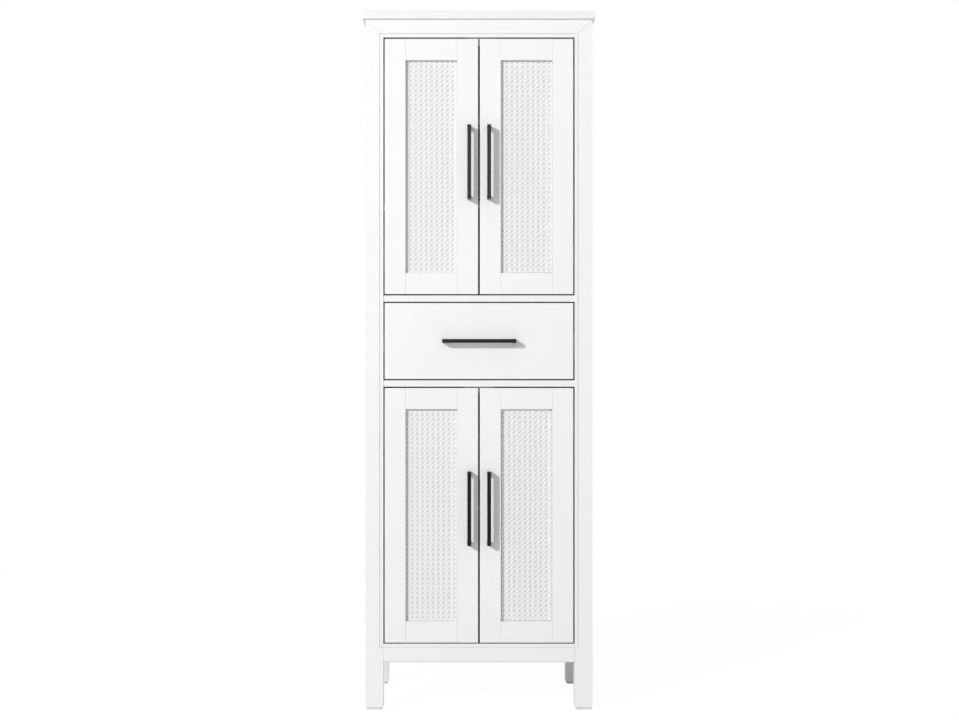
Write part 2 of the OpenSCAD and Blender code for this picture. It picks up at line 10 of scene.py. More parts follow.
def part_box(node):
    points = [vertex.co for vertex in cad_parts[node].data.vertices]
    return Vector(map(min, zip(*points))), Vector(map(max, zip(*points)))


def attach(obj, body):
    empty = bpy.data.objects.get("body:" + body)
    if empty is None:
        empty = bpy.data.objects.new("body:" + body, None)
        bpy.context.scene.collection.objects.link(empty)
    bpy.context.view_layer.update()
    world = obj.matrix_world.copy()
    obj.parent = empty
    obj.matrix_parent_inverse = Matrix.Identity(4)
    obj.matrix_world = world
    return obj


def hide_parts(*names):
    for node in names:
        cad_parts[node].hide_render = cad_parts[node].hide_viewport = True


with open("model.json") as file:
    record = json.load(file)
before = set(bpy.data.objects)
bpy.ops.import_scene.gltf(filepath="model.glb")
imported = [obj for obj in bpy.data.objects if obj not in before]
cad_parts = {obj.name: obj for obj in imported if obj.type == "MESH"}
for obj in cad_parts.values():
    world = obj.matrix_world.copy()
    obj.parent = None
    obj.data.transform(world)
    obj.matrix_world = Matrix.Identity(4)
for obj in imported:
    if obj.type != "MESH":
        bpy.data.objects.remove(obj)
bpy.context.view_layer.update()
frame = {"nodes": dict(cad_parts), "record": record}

NODES = frame["nodes"]
DOORS = ("upper_left_door", "upper_right_door", "lower_left_door", "lower_right_door")
MM = 0.001

# The photograph's camera: level, a little left of the middle, about 4.3 m in front of the doors.
CAMERA_AT = (-0.068, -4.484, 0.9116)
CAMERA_LENS = 62.0
CAMERA_SHIFT = 0.0277
CAMERA_REACH = 100.0
SENSOR = 36.0

# One round lamp far to the front left and above, and even light from all round.
KEY_AT = (-6.4, -8.8, 4.75)
KEY_AIM = (0.0, -0.18, 0.92)
KEY_SIZE = 0.75
KEY_WATTS = 804.0
KEY_COLOUR = (1.0, 1.0, 0.975)
AMBIENT = 0.442
AMBIENT_COLOUR = (1.0, 0.99, 1.035, 1.0)

# A wide soft panel behind the camera, which the black handles mirror.
PANEL_AT = (-0.95, -8.2, 2.35)
PANEL_AIM = (0.0, -0.18, 1.2)
PANEL_W, PANEL_H = 2.4, 2.0
PANEL_WATTS = 85.0

# The floor: half its side, its tone to the light, the tone and glow that show its shadow, and
# between which distances from the middle that shadow fades out.
FLOOR_HALF = 30.0
FLOOR_TONE = 0.8
SHADOW_TONE = 0.09
SHADOW_GLOW = 0.95
SHADOW_FADE = (1.2, 3.2)

# Depths of the relief that materials give a surface, in metres.
PAINT_WAVE = 0.00006
PAINT_PEEL = 0.00002
BOARD_GRAIN = 0.00003
CANE_FIBRE = 0.00006
COAT_PEBBLE = 0.000014
ROLLED_GRAIN = 0.00001
MOULD_SKIN = 0.00003


# Materials

def grey(level):
    return (level, level, level)


def new_material(name, roughness, metallic=0.0, specular=0.5):
    """A material with its plain shader, and the node tree that the rest is added to."""
    material = bpy.data.materials.new(name)
    material.use_nodes = True
    tree = material.node_tree
    shader = tree.nodes["Principled BSDF"]
    shader.inputs["Roughness"].default_value = roughness
    shader.inputs["Metallic"].default_value = metallic
    shader.inputs["Specular IOR Level"].default_value = specular
    return material, tree, shader


def coordinates(tree, scale=(1, 1, 1), uv=None):
    """Object coordinates, or those of a UV map, stretched by scale."""
    mapping = tree.nodes.new("ShaderNodeMapping")
    mapping.inputs["Scale"].default_value = scale
    if uv:
        source = tree.nodes.new("ShaderNodeUVMap")
        source.uv_map = uv
        tree.links.new(source.outputs["UV"], mapping.inputs["Vector"])
    else:
        source = tree.nodes.new("ShaderNodeTexCoord")
        tree.links.new(source.outputs["Object"], mapping.inputs["Vector"])
    return mapping.outputs["Vector"]


def noise(tree, vector, scale, detail=2.0, roughness=0.5):
    node = tree.nodes.new("ShaderNodeTexNoise")
    node.inputs["Scale"].default_value = scale
    node.inputs["Detail"].default_value = detail
    node.inputs["Roughness"].default_value = roughness
    tree.links.new(vector, node.inputs["Vector"])
    return node.outputs["Fac"]


def spread(tree, value, low, high, start=0.3, end=0.7):
    """A pattern's value mapped from start..end to low..high."""
    node = tree.nodes.new("ShaderNodeMapRange")
    node.inputs["From Min"].default_value = start
    node.inputs["From Max"].default_value = end
    node.inputs["To Min"].default_value = low
    node.inputs["To Max"].default_value = high
    tree.links.new(value, node.inputs["Value"])
    return node.outputs["Result"]


def blend_colours(tree, factor, first, second):
    """A mix of two colours, each a tuple or a socket."""
    node = tree.nodes.new("ShaderNodeMix")
    node.data_type = "RGBA"
    inputs = {socket.identifier: socket for socket in node.inputs}
    for target, colour in ((inputs["A_Color"], first), (inputs["B_Color"], second)):
        if isinstance(colour, tuple):
            target.default_value = (*colour, 1.0)
        else:
            tree.links.new(colour, target)
    tree.links.new(factor, inputs["Factor_Float"])
    return [socket for socket in node.outputs if socket.identifier == "Result_Color"][0]


def bump(tree, height, depth, below=None):
    """Normals of a relief of the given depth, over those of another relief."""
    node = tree.nodes.new("ShaderNodeBump")
    node.inputs["Distance"].default_value = depth
    node.inputs["Strength"].default_value = 1.0
    tree.links.new(height, node.inputs["Height"])
    if below is not None:
        tree.links.new(below, node.inputs["Normal"])
    return node.outputs["Normal"]


def set_colour(tree, shader, pattern, light, dark, most=1.0):
    """A base colour that a pattern takes from light towards dark, up to the share that most gives."""
    colour = blend_colours(tree, spread(tree, pattern, 0.0, most), light, dark)
    tree.links.new(colour, shader.inputs["Base Color"])


def set_roughness(tree, shader, pattern, middle, less, more):
    """Roughness that a pattern moves from a little below its middle value to a little above."""
    tree.links.new(spread(tree, pattern, middle - less, middle + more), shader.inputs["Roughness"])


def set_relief(tree, shader, pattern, depth):
    tree.links.new(bump(tree, pattern, depth), shader.inputs["Normal"])


def paint(name, light, dark, roughness=0.4):
    """Sprayed satin paint on board: slow changes of tone and gloss, orange peel and a slight wave."""
    material, tree, shader = new_material(name, roughness)
    here = coordinates(tree)
    tone = noise(tree, here, scale=2.6, detail=3.0, roughness=0.55)
    fleck = noise(tree, here, scale=95.0, detail=3.0, roughness=0.6)
    clouds = blend_colours(tree, spread(tree, tone, 0.0, 1.0), light, dark)
    set_colour(tree, shader, fleck, clouds, dark, most=0.35)
    gloss = noise(tree, here, scale=11.0, detail=4.0, roughness=0.6)
    set_roughness(tree, shader, gloss, roughness, less=0.05, more=0.07)
    wave = bump(tree, noise(tree, here, scale=34.0, roughness=0.45), PAINT_WAVE)
    peel = bump(tree, noise(tree, here, scale=820.0), PAINT_PEEL, below=wave)
    tree.links.new(peel, shader.inputs["Normal"])
    return material


def backing(name, light, dark, painted_shade_behind_cane):
    """The doors' panels, with painted shade on the side that faces the cane: a darker grey that stands
    in for the shade in the cane's eyes.
    """
    material = paint(name, light, dark)
    tree = material.node_tree
    base = tree.nodes["Principled BSDF"].inputs["Base Color"]
    white = base.links[0].from_socket
    facing = tree.nodes.new("ShaderNodeTexCoord")
    parts = tree.nodes.new("ShaderNodeSeparateXYZ")
    tree.links.new(facing.outputs["Normal"], parts.inputs["Vector"])
    # Faces towards the cane take the darker grey: painted shade.
    front = spread(tree, parts.outputs["Y"], 1.0, 0.0, start=-0.6, end=-0.4)
    tree.links.new(blend_colours(tree, front, white, painted_shade_behind_cane), base)
    return material


def melamine(name, light, dark, roughness=0.48):
    """White faced board with a fine pressed texture that runs one way."""
    material, tree, shader = new_material(name, roughness)
    along = coordinates(tree, scale=(1.0, 0.12, 1.0))
    tone = noise(tree, coordinates(tree), scale=4.0, detail=3.0, roughness=0.6)
    set_colour(tree, shader, tone, light, dark)
    gloss = noise(tree, along, scale=260.0, detail=3.0, roughness=0.6)
    set_roughness(tree, shader, gloss, roughness, less=0.06, more=0.08)
    set_relief(tree, shader, noise(tree, along, scale=900.0, detail=3.0, roughness=0.65), BOARD_GRAIN)
    return material


def painted_cane(name, lit_front_tone, shaded_deep_tone, front, back, roughness=0.46):
    """Cane strands under white paint, with fibres along each, and painted light: lightest where they
    stand forward, with painted shade deeper in.
    """
    material, tree, shader = new_material(name, roughness)
    fibre = coordinates(tree, scale=(60.0, 2600.0, 1.0), uv="strand")
    streak = noise(tree, fibre, scale=1.0, detail=3.0, roughness=0.6)
    here = coordinates(tree)
    parts = tree.nodes.new("ShaderNodeSeparateXYZ")
    tree.links.new(here, parts.inputs["Vector"])
    # Painted light and shade: the sheet's front takes the lit tone, and deeper parts the shaded one.
    depth = spread(tree, parts.outputs["Y"], 0.0, 1.0, start=front, end=back)
    tone = blend_colours(tree, depth, lit_front_tone, shaded_deep_tone)
    set_colour(tree, shader, streak, tone, shaded_deep_tone, most=0.25)
    patch = noise(tree, here, scale=38.0, detail=3.0, roughness=0.6)
    set_roughness(tree, shader, patch, roughness, less=0.06, more=0.1)
    set_relief(tree, shader, streak, CANE_FIBRE)
    return material


def powder_coat(name, light, dark, roughness, specular):
    """Satin black powder coat with its fine pebbled skin."""
    material, tree, shader = new_material(name, roughness, specular=specular)
    here = coordinates(tree)
    tone = noise(tree, here, scale=60.0, detail=3.0, roughness=0.6)
    set_colour(tree, shader, tone, light, dark)
    gloss = noise(tree, here, scale=240.0, detail=3.0, roughness=0.6)
    set_roughness(tree, shader, gloss, roughness, less=0.04, more=0.06)
    set_relief(tree, shader, noise(tree, here, scale=1900.0), COAT_PEBBLE)
    return material


def plated(name, light, dark, roughness, grain=(1.0, 1.0, 1.0), crystals=0.0):
    """Plated steel: rolled grain, changes of gloss, and for zinc the faint crystals of the plating."""
    material, tree, shader = new_material(name, roughness, metallic=1.0)
    rolled = noise(tree, coordinates(tree, grain), scale=420.0, detail=4.0, roughness=0.6)
    if crystals:
        cells = tree.nodes.new("ShaderNodeTexVoronoi")
        cells.inputs["Scale"].default_value = crystals
        tree.links.new(coordinates(tree), cells.inputs["Vector"])
        shade = tree.nodes.new("ShaderNodeRGBToBW")
        tree.links.new(cells.outputs["Color"], shade.inputs["Color"])
        plain = blend_colours(tree, spread(tree, rolled, 0.0, 1.0), light, dark)
        set_colour(tree, shader, shade.outputs["Val"], plain, dark, most=0.5)
    else:
        set_colour(tree, shader, rolled, light, dark)
    set_roughness(tree, shader, rolled, roughness, less=0.06, more=0.1)
    set_relief(tree, shader, rolled, ROLLED_GRAIN)
    return material


def moulded(name, light, dark, roughness):
    """Moulded plastic with a faint spark-eroded skin."""
    material, tree, shader = new_material(name, roughness)
    here = coordinates(tree)
    tone = noise(tree, here, scale=45.0, detail=3.0, roughness=0.6)
    set_colour(tree, shader, tone, light, dark)
    set_roughness(tree, shader, tone, roughness, less=0.05, more=0.07)
    set_relief(tree, shader, noise(tree, here, scale=1500.0), MOULD_SKIN)
    return material


# The cane's colour holds painted light and shade, lightest at the front of its sheet, which lies at one
# depth in all four doors.
CANE_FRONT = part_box("upper_left_door_cane")[0].y
RAISED_AT, SUNK_AT = CANE_FRONT + 0.12 * MM, CANE_FRONT + 0.5 * MM
WHITE_LIGHT, WHITE_DARK = grey(0.885), (0.865, 0.866, 0.868)

WHITE = paint("white_paint", WHITE_LIGHT, WHITE_DARK)
# The top's paint is a darker copy of the white: painted shade for its front.
TOP = paint("top_paint_painted_shade", grey(0.858), (0.838, 0.839, 0.841))
# The panels behind the cane are painted darker on their front: painted shade for the cane's eyes.
BACKING_PAINTED_SHADE = backing("panel_paint_painted_shade", WHITE_LIGHT, WHITE_DARK, grey(0.71))
INSIDE = paint("inside_paint", (0.875, 0.875, 0.872), (0.85, 0.85, 0.848), roughness=0.46)
BACK = melamine("back_face", (0.86, 0.86, 0.855), (0.83, 0.83, 0.825), roughness=0.52)
BOX = melamine("drawer_face", (0.87, 0.87, 0.862), (0.845, 0.845, 0.836))
CANE = painted_cane("cane_paint_painted_light", grey(0.99), grey(0.82), RAISED_AT, SUNK_AT)
BLACK = powder_coat("black_coat", (0.0078, 0.0078, 0.0082), (0.006, 0.006, 0.0063),
                    roughness=0.2, specular=0.15)
NICKEL = plated("nickel_plate", (0.42, 0.41, 0.395), (0.32, 0.312, 0.30), roughness=0.36,
                grain=(1.0, 1.0, 0.15))
# Plates painted darker: painted shade for where they show through the gaps.
MOUNT_PAINTED_SHADE = plated("mount_plate_painted_shade", (0.25, 0.245, 0.235), (0.19, 0.187, 0.18), roughness=0.45,
               grain=(1.0, 1.0, 0.15))
ZINC = plated("zinc_plate", (0.56, 0.57, 0.59), (0.44, 0.45, 0.475), roughness=0.36,
              grain=(1.0, 0.1, 1.0), crystals=130.0)
PIN = plated("pin_plate", (0.55, 0.545, 0.54), (0.44, 0.437, 0.43), roughness=0.26)
GLIDE = moulded("glide_plastic", (0.72, 0.72, 0.715), (0.66, 0.66, 0.655), roughness=0.5)
STOP = moulded("stop_plastic", (0.84, 0.84, 0.83), (0.80, 0.80, 0.79), roughness=0.42)

# The material of each of the record's slots, and how far its nodes' edges are eased, in millimetres.
SLOTS = {
    "painted_top": (TOP, 0.8),
    "painted_frame": (WHITE, 0.6),
    "painted_board": (INSIDE, 0.5),
    "back_board": (BACK, 0.3),
    "painted_drawer": (WHITE, 0.8),
    "drawer_board": (BOX, 0.5),
    "painted_door": (WHITE, 0.5),
    "cane_backing": (BACKING_PAINTED_SHADE, 0.3),
    "cane": (CANE, 0.0),
    "black_handle": (BLACK, 0.35),
    "hinge_steel": (NICKEL, 0.25),
    "slide_steel": (ZINC, 0.2),
    "pin_steel": (PIN, 0.0),
    "glide_plastic": (GLIDE, 0.5),
    "stop_plastic": (STOP, 0.6),
}

# The plates on the posts are darker and duller than the arms and cups of their slot; the darker colour
# is painted shade, so that they stay dark where they show through the door gaps.
OWN_MATERIAL = {"hinge_plates": MOUNT_PAINTED_SHADE}


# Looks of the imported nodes

# How near to each other corners are joined, in metres.
WELD_REACH = 1e-6
# Faces that meet at less than the first angle are made one, and edges over the second are eased.
FLAT_ANGLE = math.radians(0.5)
EASED_ANGLE = math.radians(40)
EASE_SEGMENTS = 2


def ease_edges(node, width):
    """Rounds the node's sharp edges, with each flat face whole again."""
    flat = node.modifiers.new("whole_faces", "DECIMATE")
    flat.decimate_type = "DISSOLVE"
    flat.angle_limit = FLAT_ANGLE
    ease = node.modifiers.new("eased_edges", "BEVEL")
    ease.width = width
    ease.segments = EASE_SEGMENTS
    ease.limit_method = "ANGLE"
    ease.angle_limit = EASED_ANGLE
    ease.use_clamp_overlap = True
    ease.harden_normals = False


def dress(name, slot):
    """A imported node's material and its eased edges."""
    node = NODES[name]
    material, edge = SLOTS[slot]
    if not node.material_slots:
        node.data.materials.append(None)
    for place in node.material_slots:
        place.link = "OBJECT"
        place.material = OWN_MATERIAL.get(name, material)
    weld = node.modifiers.new("joined_faces", "WELD")
    weld.merge_threshold = WELD_REACH
    if edge:
        ease_edges(node, edge * MM)


def dress_all_nodes():
    slots = {part["node"]: part["material_slot"] for part in frame["record"]["subparts"]}
    for name in sorted(NODES):
        dress(name, slots[name])


def add_piece(name, mesh, body, slot):
    """A new smooth piece with the material of its record slot, riding on a body."""
    piece = bpy.data.objects.new(name, mesh)
    bpy.context.scene.collection.objects.link(piece)
    mesh.materials.clear()
    mesh.materials.append(SLOTS[slot][0])
    for polygon in mesh.polygons:
        polygon.use_smooth = True
    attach(piece, body)
    return piece


# Woven cane: pairs of upright strands, pairs of level strands, and one strand along each diagonal.

CANE_PITCH_X, CANE_PITCH_Z = 13.77 * MM, 12.6 * MM
PAIR_SPACING = 3.0 * MM
STRAND_W = 2.3 * MM
# Width of the diagonals that rise to the right, and of those that fall.
DIAGONAL_W = {1: 3.4 * MM, -1: 2.1 * MM}
STRAND_T = 0.42 * MM
# How far a strand steps forward or back where it crosses another, in shares of its thickness.
STEP_SHARE = 0.56
# Where a strand runs level between two crossings, in shares of the pitch.
LEVEL_SPAN = (0.3, 0.7)
# How far a diagonal stands out where it crosses a level pair, against an upright one.
LEVEL_LIFT = 0.5
# How far a diagonal keeps its height past the middle of a pair's strand, in shares of its width.
HOLD_SHARE = 0.45
# The least step between two points of a diagonal, in counts of the pitch.
LEAST_STEP = 0.02
# A strand's section, in shares of its width across and of its thickness forward.
STRAND_SECTION = ((-0.5, -0.35), (-0.43, 0.4), (0.0, 0.5), (0.43, 0.4), (0.5, -0.35))
# How far the fibre pattern moves on from one strand to the next, in metres.
FIBRE_SHIFT = 0.37
# The sheets were cut where they fell, so each door has its first eye at another place, from its
# lower left corner.
FIRST_EYE = {
    "upper_left_door": (13.67 * MM, 10.1 * MM),
    "upper_right_door": (3.2 * MM, 8.1 * MM),
    "lower_left_door": (3.5 * MM, 9.4 * MM),
    "lower_right_door": (9.25 * MM, 1.8 * MM),
}


class Strands:
    """The corners, faces and UVs of a sheet's strands."""

    def __init__(self):
        self.verts, self.faces, self.uvs = [], [], []
        self.count = 0

    def add(self, points, lifts, width):
        """A flat bar with a rounded face, along points (x, z), raised by lifts towards the front."""
        points = np.array(points, float)
        steps = np.linalg.norm(np.diff(points, axis=0), axis=1)
        run = np.concatenate([[0.0], np.cumsum(steps)])
        along = (points[-1] - points[0]) / np.linalg.norm(points[-1] - points[0])
        across = np.array((along[1], -along[0]))
        start, sides = len(self.verts), len(STRAND_SECTION)
        for point, lift in zip(points, lifts):
            for u, v in STRAND_SECTION:
                flat = point + across * u * width
                self.verts.append((flat[0], -(lift + v * STRAND_T), flat[1]))
        shift = self.count * FIBRE_SHIFT
        for i in range(len(points) - 1):
            u0, u1 = run[i] + shift, run[i + 1] + shift
            for k in range(sides):
                after = (k + 1) % sides
                a, b = start + i * sides + k, start + i * sides + after
                self.faces.append((a, a + sides, b + sides, b))
                v0, v1 = STRAND_SECTION[k][0] * width, STRAND_SECTION[after][0] * width
                self.uvs.extend(((u0, v0), (u1, v0), (u1, v1), (u0, v1)))
        last = start + (len(points) - 1) * sides
        for end, order in ((start, range(sides)), (last, range(sides - 1, -1, -1))):
            self.faces.append(tuple(end + k for k in order))
            self.uvs.extend(((0.0, 0.0),) * sides)
        self.count += 1

    def mesh(self, name, width, height):
        """The sheet's mesh. Strands that run past its edge end on it."""
        verts = np.array(self.verts)
        verts[:, 0] = np.clip(verts[:, 0], 0.0, width)
        verts[:, 2] = np.clip(verts[:, 2], 0.0, height)
        mesh = bpy.data.meshes.new(name)
        mesh.from_pydata(verts.tolist(), [], self.faces)
        layer = mesh.uv_layers.new(name="strand")
        layer.data.foreach_set("uv", np.array(self.uvs, np.float32).ravel())
        mesh.update()
        return mesh


def lay_pairs(strands, upright, across, along, middle):
    """The pairs that run one way. across and along each hold a crossing's place, the pitch and the
    sheet's size."""
    start, pitch, breadth = across
    other_start, other_pitch, extent = along
    half = PAIR_SPACING / 2
    step = STRAND_T * STEP_SHARE * (1 if upright else -1)
    level = [(share * other_pitch, 0.0) for share in LEVEL_SPAN]
    for line in range(-1, int(breadth / pitch) + 3):
        for side in (-1, 1):
            place = start + line * pitch + side * half
            if place < STRAND_W / 2 or place > breadth - STRAND_W / 2:
                continue
            stops, lifts = [], []
            for span in range(-1, int(extent / other_pitch) + 3):
                centre = other_start + span * other_pitch
                for offset, lift in [(-half, side * step), (half, -side * step)] + level:
                    if 0.0 < centre + offset < extent:
                        stops.append(centre + offset)
                        lifts.append(lift)
            stops = [0.0] + stops + [extent]
            lifts = [lifts[0]] + lifts + [lifts[-1]]
            points = [(place, stop) if upright else (stop, place) for stop in stops]
            strands.add(points, [middle + lift for lift in lifts], STRAND_W)


def lay_diagonals(strands, crossing, size, middle, over):
    """The diagonals, which cross each pair half way between its crossings. One slope runs before the
    upright pairs and behind the level ones, and the other slope the other way about."""
    (x0, z0), (width, height) = crossing, size
    px, pz = CANE_PITCH_X, CANE_PITCH_Z
    # The sheet's edges in counts of the pitch, from one crossing of two pairs.
    left, right = -x0 / px, (width - x0) / px
    low, high = -z0 / pz, (height - z0) / pz
    hold = PAIR_SPACING / 2 + STRAND_W * HOLD_SHARE
    columns, rows = int(right) + 2, int(high) + 2
    for slope in (1, -1):
        for k in range(-rows - 1, columns + rows + 1):
            inside = []
            for n in range(-4, 2 * columns + 2):
                a = n / 2
                b = slope * (a - k - 0.5)
                at_upright = n % 2 == 0
                reach = hold / (px if at_upright else pz)
                lift = over * slope * (1.0 if at_upright else -LEVEL_LIFT)
                for off in (-reach, reach):
                    if left <= a + off <= right and low <= b + slope * off <= high:
                        inside.append((a + off, b + slope * off, lift))
            if len(inside) < 2:
                continue
            # The strand goes on to the sheet's edge at both ends.
            a, b, lift = inside[0]
            go = min(a - left, b - low if slope > 0 else high - b)
            route = [(a - go, b - slope * go, lift)]
            a, b, lift = inside[-1]
            go = min(right - a, high - b if slope > 0 else b - low)
            for point in inside + [(a + go, b + slope * go, lift)]:
                if point[0] - route[-1][0] > LEAST_STEP:
                    route.append(point)
            if len(route) < 2:
                continue
            points = [(x0 + a * px, z0 + b * pz) for a, b, lift in route]
            strands.add(points, [middle + lift for a, b, lift in route], DIAGONAL_W[slope])


def weave_mesh(name, width, height, depth, first_eye):
    """A sheet of woven cane from the origin, width across X and height up Z, its front at Y = 0."""
    x0, z0 = first_eye[0] - CANE_PITCH_X / 2, first_eye[1] - CANE_PITCH_Z / 2
    upright, level = (x0, CANE_PITCH_X, width), (z0, CANE_PITCH_Z, height)
    middle = -depth / 2
    strands = Strands()
    lay_pairs(strands, True, upright, level, middle)
    lay_pairs(strands, False, level, upright, middle)
    lay_diagonals(strands, (x0, z0), (width, height), middle, (depth - STRAND_T) / 2)
    return strands.mesh(name, width, height)


def add_weave(door):
    """The door's woven sheet, in place of its plain CAD sheet."""
    node = door + "_cane"
    low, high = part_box(node)
    mesh = weave_mesh(door + "_weave", high.x - low.x, high.z - low.z, high.y - low.y, FIRST_EYE[door])
    mesh.transform(Matrix.Translation((low.x, low.y, low.z)))
    weave = add_piece(door + "_cane_weave", mesh, door, "cane")
    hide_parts(node)


# Screws, with all their sizes and places in millimetres.

# The cross in a screw's head, in shares of the head's radius.
CROSS_REACH, CROSS_HALF = 0.52, 0.13
# Rings of a head, from its seat: share of the radius, and share of the height.
HEAD_RINGS = ((1.0, 0.0), (1.0, 0.4), (0.9, 0.76), (0.7, 0.96))
# Rings of the cross, from its rim to its floor: share of the cross, and share of the height.
CROSS_RINGS = ((1.0, 1.0), (0.6, 0.3))
# How far a head goes into what it holds, so that no two faces lie in one plane.
HEAD_SUNK = 0.05
# The angle from which an edge of a head shows sharp.
HEAD_SHARP = math.radians(38)

# Radius and height of each kind of head.
CUP_HEAD = (3.4, 1.5)
HANDLE_HEAD = (4.0, 2.0)
PLATE_HEAD = (3.6, 1.6)
ARM_HEAD = (2.6, 1.1)
STOP_HEAD = (3.4, 1.6)
SLIDE_HEAD = (3.2, 1.1)
BACK_HEAD = (3.0, 0.9)

# Hinge cups: from a flange's outer edge to the cup's middle, half its height, and its two screws.
CUP_MIDDLE = 19.0
FLANGE_HALF = 29.0
CUP_SCREW_IN = 9.0
CUP_SCREW_RISE = 24.0
# Hinge plates and arms: their thicknesses, and their screws' places on them.
PLATE_T, ARM_T = 2.5, 2.6
PLATE_SCREW_RISE = 16.0
ARM_SCREW_BACK, ARM_SCREW_SIDE = 8.7, 4.0
# Handles: from the middle of a handle to each of its screws.
HANDLE_SCREW_SIDE = 91.0
# Door stops: from the middle to each screw, and how much lower the upper stop sits than the lower
# one, for the wider gap over the upper doors.
STOP_SCREW_SIDE = 25.0
STOP_DROP = 1.0
# Slides: depths of the two webs from the outer face, and places of their screws from the ends.
OUTER_WEB, INNER_WEB = 1.2, 11.8
OUTER_SCREW_IN = 13.0
INNER_SCREW_FRONT, INNER_SCREW_BACK = 26.0, 44.0
# Back panel: a column of screws in each post, and a row in each board that it meets.
BACK_SCREW_IN, BACK_SCREW_END, BACK_SCREW_ROWS = 4.6, 30.0, 9
BOARD_SCREW_PITCH, BOARD_SCREW_COUNT = 84.0, 5
BOARDS = ("bottom_panel", "lower_divider", "upper_divider")

SIDES = (-1, 1)
BACKWARD = (0, 1, 0)
DOWNWARD = (0, 0, -1)


def screw_rings(radius, height):
    """Rings of a pan head about Z, from its seat over the dome to the floor of its cross recess."""
    lean = math.atan2(CROSS_HALF, CROSS_REACH)
    corner = (CROSS_REACH + CROSS_HALF) / 2
    eighth = math.pi / 4
    # A quarter of both rings: the angle on the round one, and the place on the cross.
    quarter = (
        (-lean, CROSS_REACH, -CROSS_HALF),
        (0.0, CROSS_REACH, 0.0),
        (lean, CROSS_REACH, CROSS_HALF),
        ((lean + eighth) / 2, corner, CROSS_HALF),
        (eighth, CROSS_HALF, CROSS_HALF),
        ((3 * eighth - lean) / 2, CROSS_HALF, corner),
    )
    round_ring, cross_ring = [], []
    for turn in range(4):
        c, s = math.cos(turn * math.pi / 2), math.sin(turn * math.pi / 2)
        for angle, u, v in quarter:
            angle += turn * math.pi / 2
            round_ring.append((math.cos(angle), math.sin(angle)))
            cross_ring.append((u * c - v * s, u * s + v * c))
    rings = [(round_ring, *ring) for ring in HEAD_RINGS] + [(cross_ring, *ring) for ring in CROSS_RINGS]
    return [[(radius * share * x, radius * share * y, height * rise) for x, y in outline]
            for outline, share, rise in rings]


def add_screws(name, body, slot, seats, head):
    """One piece of equal screws. A seat is a point, and the way that the head faces."""
    spin = random.Random(name)
    radius, height = head[0] * MM, head[1] * MM
    rings = screw_rings(radius, height)
    sides = len(rings[0])
    floor = CROSS_RINGS[-1][1] * height
    verts, faces = [], []
    for place, facing in seats:
        turn = Vector((0.0, 0.0, 1.0)).rotation_difference(Vector(facing)).to_matrix()
        turn = turn @ Matrix.Rotation(spin.uniform(0.0, math.pi), 3, "Z")
        seat = (Vector(place) - HEAD_SUNK * Vector(facing)) * MM
        start = len(verts)
        for ring in rings:
            verts.extend(tuple(seat + turn @ Vector(point)) for point in ring)
        for r in range(len(rings) - 1):
            for k in range(sides):
                a, b = start + r * sides + k, start + r * sides + (k + 1) % sides
                faces.append((a, b, b + sides, a + sides))
        # Fans close the seat and the floor of the cross.
        for r, level, below in ((0, 0.0, True), (len(rings) - 1, floor, False)):
            middle = len(verts)
            verts.append(tuple(seat + turn @ Vector((0.0, 0.0, level))))
            for k in range(sides):
                a, b = start + r * sides + k, start + r * sides + (k + 1) % sides
                faces.append((middle, b, a) if below else (middle, a, b))
    mesh = bpy.data.meshes.new(name)
    mesh.from_pydata(verts, [], faces)
    mesh.update()
    add_piece(name, mesh, body, slot)
    mesh.set_sharp_from_angle(angle=HEAD_SHARP)


def corners(node):
    """A node's lowest and highest corners in millimetres."""
    low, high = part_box(node)
    return low / MM, high / MM


def middle_of(node):
    low, high = corners(node)
    return (low + high) / 2


def side_of(door):
    return -1.0 if "left" in door else 1.0


def hinge_heights(door):
    """The heights of the door's two hinges."""
    cup_low, cup_high = corners(door + "_hinge_cups")
    return (cup_low.z + FLANGE_HALF, cup_high.z - FLANGE_HALF)


def add_cup_screws(door):
    cup_low, cup_high = corners(door + "_hinge_cups")
    side = side_of(door)
    cup_x = side * (max(abs(cup_low.x), abs(cup_high.x)) - CUP_MIDDLE)
    seats = [((cup_x - side * CUP_SCREW_IN, cup_high.y, z + s * CUP_SCREW_RISE), BACKWARD)
             for z in hinge_heights(door) for s in SIDES]
    add_screws(door + "_cup_screws", door, "hinge_steel", seats, CUP_HEAD)


def add_handle_screws(door):
    pull = middle_of(door + "_handle")
    stile_back = corners(door + "_handle_stile")[1].y
    seats = [((pull.x, stile_back, pull.z + s * HANDLE_SCREW_SIDE), BACKWARD) for s in SIDES]
    add_screws(door + "_handle_screws", door, "pin_steel", seats, HANDLE_HEAD)


def add_hinge_screws():
    """The screws that hold the hinges' plates to the posts, and the arms to the plates."""
    low, high = corners("hinge_plates")
    plate_seats, arm_seats = [], []
    for door in DOORS:
        side = side_of(door)
        post_x = low.x if side < 0 else high.x
        inward = (-side, 0, 0)
        plate_x, arm_x = post_x - side * PLATE_T, post_x - side * (PLATE_T + ARM_T)
        for z in hinge_heights(door):
            for s in SIDES:
                plate_seats.append(((plate_x, (low.y + high.y) / 2, z + s * PLATE_SCREW_RISE), inward))
                arm_seats.append(((arm_x, high.y - ARM_SCREW_BACK + s * ARM_SCREW_SIDE, z), inward))
    add_screws("hinge_plate_screws", "cabinet", "hinge_steel", plate_seats, PLATE_HEAD)
    add_screws("hinge_arm_screws", "cabinet", "hinge_steel", arm_seats, ARM_HEAD)


def add_drawer_handle_screws():
    box_back = corners("drawer_box_front")[1].y
    pull = middle_of("drawer_handle")
    seats = [((s * HANDLE_SCREW_SIDE, box_back, pull.z), BACKWARD) for s in SIDES]
    add_screws("drawer_handle_screws", "drawer", "pin_steel", seats, HANDLE_HEAD)


